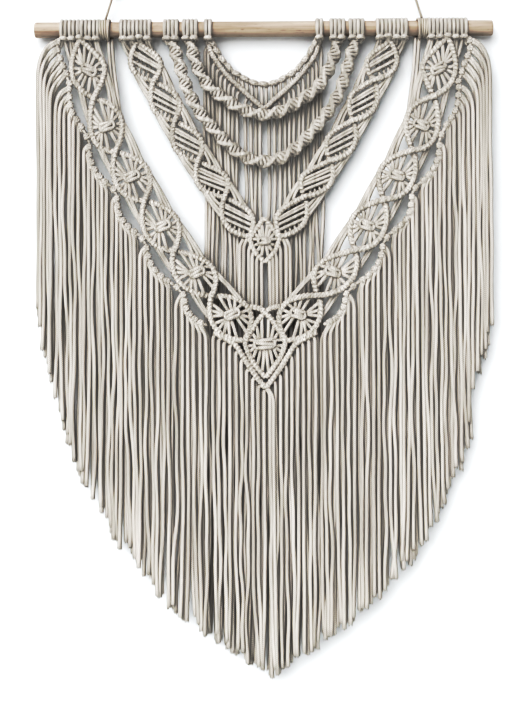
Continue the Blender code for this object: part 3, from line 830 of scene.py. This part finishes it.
outer_cords = []
for side in (-1, 1):
    outer_cords += hung(OUTER_HEADS, side, OUTER_FRONT + 3)
    outer_cords += bridges(OUTER, side, OUTER_BRIDGES)
    for table in LOOSE_CORDS:
        path = smooth([Vector((side * x, y, z)) for x, y, z in table], 6)
        outer_cords.append(strand(spaced(path, 7), LOOSE_RADIUS))
knotted("outer_band_cords", outer_cords)

# %% [markdown]
# ## The inner band
# It is made like the outer one, but its smaller cells hold no wheels: four cords run straight
# across each leaf, from upper left to lower right on the left side and mirrored on the right, the
# upper two as a pair. Five more drop from the upper bar to the lower one behind them. A small
# diamond with a slim wheel closes the band in the middle, and its cords hang straight down to the
# fringe.

# %% Inner bars, heads and leaves
SMALL_DIAMOND_TOP = [(0, -248), (11, -262), (20, -276)]
SMALL_DIAMOND_LOW = [(20, -274), (13, -292), (0, -306)]
SMALL_WHEEL = Wheel(0, -278.5, wide=17, high=10, turns=2, tilt=0)
SMALL_RIM = [(4, -254), (9, -260), (14, -267), (17, -275), (14.5, -284),
             (10, -292), (4.5, -299)]
INNER_HEADS = [(183.3, (174.5, -38), (172.5, -30)), (172.9, (170.5, -28), (167.5, -23)),
               (162.4, (164, -20), (160, -20)), (151.9, (148.5, -32), (140.5, -38.5))]
RUNGS = [(0.17, 0.56), (0.25, 0.64), (0.36, 0.74), (0.51, 0.88)]
RUNG_RADII = [2.3, 2.1, 2.45, 2.45]
RUNG_BEHIND = 0.4
WARPS = [(0.08, 0.48), (0.17, 0.59), (0.26, 0.69), (0.36, 0.79), (0.47, 0.88)]
WARP_BEHIND = 6.5
WARP_RADIUS = 2
INNER_CORD = 3
INNER_BRIDGES = [(False, 0.58, 0.46, 1.2), (False, 0.68, 0.36, 0.4), (False, 0.80, 0.22, 0),
                 (True, 0.50, 0.36, 1.2), (True, 0.62, 0.24, 0.4), (True, 0.74, 0.14, 0)]


def at_drop(band, cell, outer, drop):
    """The point of a cell's bar that lies a share of the cell's height below its top."""
    (_, top), (_, low) = band.crossings[cell:cell + 2]
    return min(cell_arc(band, cell, outer), key=lambda p: abs(p[1] - top - (low - top) * drop))


inner_bars, inner_cords = [], []
for side in (-1, 1):
    inner_bars += band_bars(INNER, side, INNER_CORD, SMALL_DIAMOND_TOP, SMALL_DIAMOND_LOW)
    inner_cords += hung(INNER_HEADS, side, INNER_DEPTH + 2)
    for cell in range(len(INNER.crossings) - 1):
        for (upper, lower), size in zip(RUNGS, RUNG_RADII):
            a, b = placed([at_drop(INNER, cell, True, upper), at_drop(INNER, cell, False, lower)],
                          side, inner_depth)
            inner_cords.append(strand(bent(a, b, BACK * RUNG_BEHIND), size))
        for above, below in WARPS:
            a, b = placed([on_arc(INNER, cell, False, above), on_arc(INNER, cell, True, below)],
                          side, inner_depth)
            middle = a.lerp(b, 0.5) + BACK * WARP_BEHIND
            inner_cords.append(strand(smooth([a.lerp(middle, 0.5), middle, b], 4), WARP_RADIUS))
    inner_cords += bridges(INNER, side, INNER_BRIDGES)
    inner_cords += spokes(SMALL_WHEEL, side, inner_depth, SMALL_RIM)
inner_cords += square_knot(SMALL_WHEEL, 1, inner_depth)
knotted("inner_band_bars", inner_bars, "inner_band")
knotted("inner_band_cords", inner_cords)

# %% [markdown]
# ## Twisted sinnets
# A half knot tied again and again on the same side turns round its core by itself and makes a
# spiral. Each lays one strand across the core and turns it back in a tight bend at the edge. The
# bends make two ridges, which wind round the core like the rails of a spiral stair; the strands
# across are its treads. Five knots make half a twist, which is one lobe. A ridge is one strand
# here that swells a little at every bend. A tread climbs across the front and across the back as
# well, so every lobe looks the same from both sides.

# %% Sinnets
KNOTS_A_LOBE = 5
SINNET_LOBE = 21.5
RIDGE_OUT = 5.7
RIDGE_RADIUS = 3.25
RIDGE_SWELL = 0.55
POINTS_A_KNOT = 4
TREAD_WIDE = 6.6
TREAD_DEEP = 4.6
TREAD_LEAN = 1.6
TREAD_RADIUS = 2.25
TREAD_TURNS = [2 * math.pi * k / 12 for k in range(12)]
SINNET_CORE = 4.7
# At the dowel a sinnet lies this much further back.
SINNET_RISE = 4.5
LONG_SINNET = [(121.2, HEAD_DROP), (114, -35), (106, -62), (97, -87), (83, -111),
               (64, -134), (44, -155), (22, -170), (0, -174.5)]
SHORT_SINNET = [(96.3, HEAD_DROP), (92, -35), (84, -56), (72, -76), (55, -90),
                (35, -103), (16, -111), (0, -113.5)]


def sinnet(table, heads):
    """Half knots along the whole width of a sinnet, and the heads that it hangs from."""
    path = [Vector((p.x, SINNET_DEPTH + SINNET_RISE * share_between(p.z, -45, -16), p.z))
            for p in smooth(mirrored(table))]
    steps = spaced(path, SINNET_LOBE / KNOTS_A_LOBE / POINTS_A_KNOT)
    last = len(steps) - 1
    made, ridges = [strand(steps, SINNET_CORE)], ([], [])
    for i in range(1, last):
        along = heading(steps, i)
        turn = Matrix.Rotation(-i * math.pi / KNOTS_A_LOBE / POINTS_A_KNOT, 3, along)
        across = turn @ along.cross(BACK).normalized()
        front = across.cross(along)
        full = share_between(min(i, last - i), -4, 10)
        for ridge, sign in zip(ridges, (-1, 1)):
            ridge.append(steps[i] + across * sign * RIDGE_OUT * full)
        if i % POINTS_A_KNOT == 0:
            tread = [steps[i] + across * TREAD_WIDE * full * math.cos(a)
                     + front * TREAD_DEEP * math.sin(a) + along * TREAD_LEAN * math.sin(2 * a)
                     for a in TREAD_TURNS]
            made.append(strand(tread, TREAD_RADIUS + wobble(0.1), ring=True))
    for ridge in ridges:
        swell = [RIDGE_RADIUS + RIDGE_SWELL * math.cos(2 * math.pi * i / POINTS_A_KNOT)
                 for i in range(1, last)]
        made.append(strand(ridge, swell))
    for side in (-1, 1):
        for out in heads:
            made.append(lark_head(out, side, SINNET_DEPTH + SINNET_RISE,
                                  [(table[0][0] - 3, -19), (table[0][0] + 3, -19)]))
    return made


knotted("sinnet_long_twist", sinnet(LONG_SINNET, (126.4, 116.2)), "sinnet_long")
knotted("sinnet_short_twist", sinnet(SHORT_SINNET, (101.4, 91.2)), "sinnet_short")

# %% [markdown]
# ## The neckline
# A round arc of lark's heads hangs from one head on each side. A lark's head tied round another
# cord shows as one oblong lump, its bight, which lies along the core. Two short cords drop from
# each lump to a straight V bar, and the cords that leave that bar under its edge hang down behind
# everything as a curtain.

# %% Neckline
NECK_ARC = [(71.5, HEAD_DROP), (65, -22), (57.5, -36), (47.5, -48.5), (38.5, -57),
            (26.2, -64.5), (13.5, -70.5), (0, -72.5)]
NECK_BAR = [(73, HEAD_DROP), (70.5, -26), (62.2, -41.5), (47.5, -61), (29.5, -78.5),
            (13, -93.5), (0, -104)]
LUMP_PITCH = 13
LUMP_CORD = 4
# How far along a lump its fold has come, and its place behind or before the core there.
LUMP_FOLD = ((-1, 3.4), (-0.85, 0.6), (-0.5, -1.3), (0, -1.9), (0.5, -1.3), (0.85, 0.6),
             (1, 3.4))
CORE_RADIUS = 2.4
LADDER_HALF = 40
LADDER_SPREAD = 2.9
LADDER_RADIUS = 2.2


def lumps(path, pitch, size):
    """Lark's heads round a running cord: a fat fold over its front, and a small turn between folds."""
    steps = spaced(path, pitch / 2)
    made = [strand(steps, CORE_RADIUS)]
    for i in range(1, len(steps) - 1, 2):
        along = heading(steps, i)
        tilt = along.cross(BACK) * wobble(0.8)
        half = (steps[i + 1] - steps[i - 1]).length / 2 - 0.7 * size
        fold = [steps[i] + along * half * share + BACK * y + tilt * share for share, y in LUMP_FOLD]
        made.append(strand(spaced(smooth(fold, 3), 1.6), size + chance.uniform(-0.15, 0.1)))
        made.append(ring_round(steps[i + 1], along, 1.2, 1.2, 0.3, 1.6))
    return made


def height_at(path, x):
    """Height of a path at one distance across."""
    return min(path, key=lambda point: abs(point.x - x)).z


arc = smooth(placed(mirrored(NECK_ARC), 1, lambda z: -1), 6)
bar = smooth(placed(mirrored(NECK_BAR), 1, lambda z: CURTAIN_DEPTH - 3.5), 6)
neck = lumps(arc, LUMP_PITCH, LUMP_CORD)
neck += hitches(bar, lean=0.3, size=2.85, pitch=3.5)
for lump in spaced(arc, LUMP_PITCH / 2)[1::2]:
    for aside in (-LADDER_SPREAD, LADDER_SPREAD):
        x = lump.x + aside
        if abs(x) < LADDER_HALF:
            top, low = height_at(arc, x), height_at(bar, x)
            neck.append(strand([Vector((x, 0.5, top - 1)), Vector((x, 1.5, (top + low) / 2)),
                                Vector((x + wobble(0.8), 2.5, low))], LADDER_RADIUS))
for side in (-1, 1):
    neck.append(lark_head(72.7, side, 0, [(71, -19), (75, -19)]))
knotted("neckline_knots", neck, "neckline")

# %% [markdown]
# ## Hanging strands
# A fringe strand leaves its knot in the direction in which the knot holds it, bends over under its
# own weight, and hangs. Cotton cord keeps a little of the curl that it had on its spool, so two
# slow waves of a millimetre or two run down it, and its end curls to one side. It is a little
# thicker than where a knot pulls it tight. Where the scissors cut it, the braid opens a little and
# single fibres stand out.

# %% Fringe helpers
TIPS = [(-300, -345), (-290, -404), (-277, -462), (-266, -520), (-246, -577), (-219, -620),
        (-199, -668), (-177, -688), (-134, -748), (-75, -794), (-42, -818), (8, -846), (55, -815),
        (114, -772), (144, -749), (165, -724), (200, -682), (220, -641), (252, -577), (267, -525),
        (275, -463), (286, -426), (300, -378)]
FREE_CORD = 2.85
# A shoulder is 8 mm high, and higher by 1.7 mm for every millimetre that it reaches out.
SHOULDER_LEAST = 8
SHOULDER_GROWS = 1.7
FALL_STEP = 11
SLOW_WAVE = (220, 380)
QUICK_WAVE = (80, 150)
WAVE_GROWS = 120
CURL = 5
FIBRES_AN_END = 6
frayed = []


def tip_height(x):
    """Height of the cut end of a strand that hangs at x."""
    for (x0, z0), (x1, z1) in zip(TIPS, TIPS[1:]):
        if x <= x1:
            return z0 + (z1 - z0) * share_between(x, x0, x1) + chance.uniform(-2, 12)
    return TIPS[-1][1]


def fray(end, size):
    """Single fibres that stand out of a cut end."""
    for _ in range(FIBRES_AN_END):
        turn, spread = chance.uniform(0, 2 * math.pi), chance.uniform(0.2, 0.9)
        foot = Vector((math.cos(turn), math.sin(turn), 0)) * size * spread
        drop = UP * -chance.uniform(1, 2.8)
        frayed.append(strand([end + foot - drop * 0.3, end + foot * 1.35 + drop], [0.5, 0.25]))


def fall(root, leave, x, y, tip, size=FREE_CORD, sway=1.1):
    """A strand from its knot over its shoulder and down to its cut end."""
    reach = math.hypot(x - root.x, y - root.y)
    drop = SHOULDER_LEAST + SHOULDER_GROWS * reach
    under = Vector((x, y, root.z - drop))
    path = interpolate_bezier(root, root + leave * (3 + 0.5 * reach),
                              under + UP * (drop * 0.6), under, 9)
    slow, quick = chance.uniform(*SLOW_WAVE), chance.uniform(*QUICK_WAVE)
    a, b, c, d = (chance.uniform(0, 2 * math.pi) for _ in range(4))
    sway, curl = sway * chance.uniform(0.3, 1.9), wobble(CURL)
    count = max(3, round((under.z - tip) / FALL_STEP))
    for i in range(1, count + 1):
        down = (under.z - tip) * i / count
        grow = sway * min(1, down / WAVE_GROWS)
        slow_turn, quick_turn = down / slow * 2 * math.pi, down / quick * 2 * math.pi
        aside = grow * (math.sin(slow_turn + a) + 0.5 * math.sin(quick_turn + b))
        back = 0.6 * grow * (math.sin(slow_turn + c) + 0.5 * math.sin(quick_turn + d))
        path.append(Vector((x + curl * (i / count) ** 4 + aside, y + back, under.z - down)))
    fray(path[-1], size)
    return strand(path, [size] * (len(path) - 1) + [size * 1.1])


print("cut ends follow", len(TIPS), "points")

# %% [markdown]
# ## The curtain
# The cords that leave the V bar of the neckline hook out from under its lower edge and hang down
# the whole height of the piece, behind both bands: close together at the sides, and with two gaps
# in the middle through which the wall shows.

# %% Curtain and the cords of the small diamond
CURTAIN = [-77.4, -72.2, -67.2, -62, -56.9, -51.9, -46.2, -41, -35.8, -25, -17.6, -11,
           -5.8, 6.7, 13.9, 20.8, 27.4, 33.3, 39.4, 46, 52, 58.2, 63.8, 69.4, 74.8]
CURTAIN_CORD = 2.45
# A cord hooks out by this much from where it leaves the bar, and the bar ends 72 mm out.
CURTAIN_HOOK = 5
BAR_END = 72
INNER_TAILS = [-33, -27.5, -21, -16.5, -10.5, -4.5, 6.5, 11, 15.5, 21, 28, 33.5]

curtain = []
for x in CURTAIN:
    x += wobble(0.5)
    out = 1 if x > 0 else -1
    inward = max(abs(x) - CURTAIN_HOOK, 0) if abs(x) < BAR_END - 1 else BAR_END
    root = Vector((out * inward, CURTAIN_DEPTH, height_at(bar, out * inward) - 2))
    curtain.append(fall(root, Vector((0.9 * out, 0, -0.3)), x,
                        CURTAIN_DEPTH + chance.uniform(-0.8, 1.2), tip_height(x), CURTAIN_CORD))
knotted("neckline_curtain", curtain)

tails = []
low = smooth(placed(mirrored(SMALL_DIAMOND_LOW), 1, inner_depth))
for x in INNER_TAILS:
    root = Vector((x * 0.85, INNER_DEPTH, height_at(low, x * 0.85) - 1))
    tails.append(fall(root, Vector((0.2 if x > 0 else -0.2, 0, -1)), x, INNER_DEPTH + 0.4,
                      tip_height(x), sway=0.8))
knotted("inner_band_tails", tails)

# %% [markdown]
# ## The scalloped edge
# One running cord leaves the band above each crossing, bows outwards past it, lands on the next
# cell and lies along the band to the next start. Lark's heads are tied on each bow, and both ends
# of every one leave outwards as fringe, in two layers: those of the topmost head bend over the
# furthest out and those of the lowest hang close to the band.

# %% Scallops and side fringe
Scallop = namedtuple("Scallop", "leaves lands free")
SCALLOPS = [
    Scallop(None, 0.52, [(267, HEAD_DROP), (269.5, -23), (268.7, -31.5), (265, -41), (261, -51)]),
    Scallop(0.58, 0.46, [(254.7, -80), (253.8, -91), (252.3, -103), (248.5, -113), (242.5, -122.5)]),
    Scallop(0.60, 0.47, [(228.8, -158), (227.2, -168.5), (223.8, -179.5), (218, -189), (210.5, -198)]),
    Scallop(0.60, 0.47, [(191.8, -226), (190.5, -237), (187, -247.5), (181, -255.5), (173, -263)]),
    Scallop(0.60, 0.47, [(152.9, -291), (150.5, -302.5), (145.5, -312.5), (138.5, -320.5),
                         (130.5, -328)]),
    Scallop(0.60, 0.40, [(105, -350), (103.7, -361), (99.5, -371), (91.5, -380), (82, -385.5)])]
# Where the strands of each scallop hang, from its first to its last, and its number of heads.
FALLS = [(296, 276, 5), (274, 238, 6), (236.5, 201, 6), (199.5, 165.5, 6), (164, 120, 6),
         (118, 71.5, 6)]
SCALLOP_GAP = 7.6
LAYER_STEP = 5.5
# A strand leaves its head this far out of the core, and this far before or after its middle.
ROOT_OUT = 1.5
ROOT_ALONG = 1.9
BEAD_CORD = 2.9
BEAD_TURN = 1.9
BEAD_SHIFT = 1.5
LINK_PITCH = 10


def beads(path, pitch):
    """The heads on a scallop: each is two fat turns side by side, and a gap after them."""
    steps = spaced(path, pitch / 2)
    made = [strand(steps, CORE_RADIUS)]
    for i in range(1, len(steps) - 1, 2):
        along = heading(steps, i)
        for shift in (-BEAD_SHIFT, BEAD_SHIFT):
            made.append(ring_round(steps[i] + along * (shift + wobble(0.2)), along, BEAD_TURN,
                                   BEAD_TURN, wobble(0.3), BEAD_CORD + wobble(0.1)))
    return made


def beside(cell, share):
    """A place on the scalloped edge where it touches the outer bar of a cell."""
    point, ahead = (Vector(on_arc(OUTER, cell, True, share + step)) for step in (0, 0.08))
    along = (ahead - point).normalized()
    return (point.x - along.y * SCALLOP_GAP, point.y + along.x * SCALLOP_GAP)


def scallop_points(cell):
    """The (out, z) points of the scallop that lands on a cell."""
    scallop = SCALLOPS[cell]
    start = [] if scallop.leaves is None else [beside(cell - 1, scallop.leaves)]
    return start + scallop.free + [beside(cell, scallop.lands)]


for side, word in SIDES:
    edge, fringe = [], []
    for cell in range(len(SCALLOPS)):
        path = smooth(placed(scallop_points(cell), side, outer_depth), 6)
        first, last, heads = FALLS[cell]
        pitch = length_of(path) / (heads + 0.5)
        edge += beads(path, pitch)
        steps = spaced(path, pitch / 2)
        for k in range(2 * heads):
            i, behind = 2 * (k // 2) + 1, k % 2
            along = heading(steps, i)
            leave = (along.cross(BACK * side) + along * 0.5).normalized()
            root = steps[i] + leave * ROOT_OUT + along * (ROOT_ALONG if behind else -ROOT_ALONG)
            out = first + (last - first) * (k + 0.5) / (2 * heads) + wobble(0.5)
            y = steps[i].y + LAYER_STEP * behind + wobble(0.7)
            fringe.append(fall(root, leave, side * out, y, tip_height(side * out)))
    for cell in range(1, len(SCALLOPS)):
        link = [beside(cell - 1, share) for share in (SCALLOPS[cell - 1].lands, SCALLOPS[cell].leaves)]
        edge += beads(placed(link, side, outer_depth), LINK_PITCH)
    knotted("fringe_" + word + "_knots", edge, "fringe_" + word)
    knotted("fringe_" + word + "_strands", fringe)

# %% [markdown]
# ## The middle fringe
# It falls from under the hem bars, in two layers. Two more strands, the ends of the bars' own
# cores, hang in front of it at the very point of the V.

# %% Middle fringe
HEM_HALF = 68
HEM_COUNT = 38
HEM_BEHIND = 1.5
hem = smooth(placed(mirrored(HEM), 1, outer_depth))

middle_fringe = []
for i in range(HEM_COUNT):
    x = -HEM_HALF + 2 * HEM_HALF * i / (HEM_COUNT - 1) + wobble(0.5)
    out = 1 if x > 0 else -1
    y = OUTER_LOW + HEM_BEHIND + LAYER_STEP * (i % 2)
    root = Vector((x - out * 4, y + 0.5, height_at(hem, x - out * 4) - 1.5))
    middle_fringe.append(fall(root, Vector((0.9 * out, 0, -0.4)), x, y, tip_height(x)))
for x in (3, 7.5):
    root = Vector((x * 0.3, OUTER_LOW - 1, HEM[-1][1] - 1))
    middle_fringe.append(fall(root, Vector((0.7, 0, -0.7)), x + 3, OUTER_LOW - 1, tip_height(x)))
knotted("fringe_centre_strands", middle_fringe, "fringe_centre")
knotted("fringe_frayed_ends", frayed, sides=4)

# %% [markdown]
# ## The studio
# The hanging is shown on a pale wall, just behind it, over a pale floor. The light is like that of
# a large window behind the viewer: one wide, soft key, a little from the upper left, and a weak
# even light from all round that keeps the shadows behind the cords from going black. So that the
# back can be looked at too, the wall is see-through from behind and casts no shadow, and a second,
# weak lamp shines from there. The plain view transform and a gentle curve deepen the shadows,
# because pale cord on a pale wall needs contrast.

# %% Wall, floor and lights
WALL_BEHIND = 16.5
WALL_TOP = 2500
FLOOR_BELOW = -930
STUDIO_HALF = 3000
VIEW_CURVE = [(0.12, 0.02), (0.35, 0.13), (0.55, 0.48), (0.7, 0.7), (0.85, 0.86)]


def flat_panel(name, corners, material):
    """One rectangle of the studio."""
    sheet = bmesh.new()
    sheet.faces.new([sheet.verts.new(Vector(c) * MM) for c in corners])
    panel = cast(sheet, name, material)
    panel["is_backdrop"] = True
    return panel


painted_wall, tree, shader = bare_material("pale_wall_paint")
feed(tree, shader, {"Base Color": linear("#ECEEF0"), "Roughness": 0.9})
facing = add(tree, "NewGeometry").outputs["Backfacing"]
one_sided = add(tree, "MixShader", [facing, shader, add(tree, "BsdfTransparent")])
feed(tree, tree.nodes["Material Output"], {"Surface": one_sided})
pale_floor, tree, shader = bare_material("pale_floor_paint")
feed(tree, shader, {"Base Color": linear("#EDEDEB"), "Roughness": 0.8})

corners = ((-STUDIO_HALF, -1), (STUDIO_HALF, -1), (STUDIO_HALF, 1), (-STUDIO_HALF, 1))
wall = flat_panel("studio_wall", [(x, WALL_BEHIND, FLOOR_BELOW if end < 0 else WALL_TOP)
                                  for x, end in corners], painted_wall)
wall.visible_shadow = False
flat_panel("studio_floor", [(x, end * STUDIO_HALF, FLOOR_BELOW) for x, end in corners], pale_floor)

for name, energy, softness, shines in (("soft_key", 3.5, 60, (0.38, 1, -0.55)),
                                       ("rear_light", 1.3, 45, (-0.3, -1, -0.5))):
    lamp = bpy.data.lights.new(name, "SUN")
    lamp.energy, lamp.angle = energy, math.radians(softness)
    linked(name, lamp).rotation_euler = Vector(shines).to_track_quat("-Z", "Y").to_euler()
world = bpy.data.worlds.new("pale_studio")
world.use_nodes = True
feed(world.node_tree, world.node_tree.nodes["Background"],
     {"Color": linear("#F4F6F8"), "Strength": 0.3})
bpy.context.scene.world = world
view = bpy.context.scene.view_settings
view.view_transform = "Standard"
view.use_curve_mapping = True
for given, shown in VIEW_CURVE:
    view.curve_mapping.curves[3].points.new(given, shown)
view.curve_mapping.update()
print("wall stands", WALL_BEHIND, "mm behind the dowel's axis")

# %% [markdown]
# ## Size
# The finished hanging should fill the same box as its solids, apart from a few millimetres of
# soft cord, so its box is printed.

# %% Size of the finished hanging
low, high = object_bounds()
print("box in mm:", [round(s / MM, 1) for s in high - low])
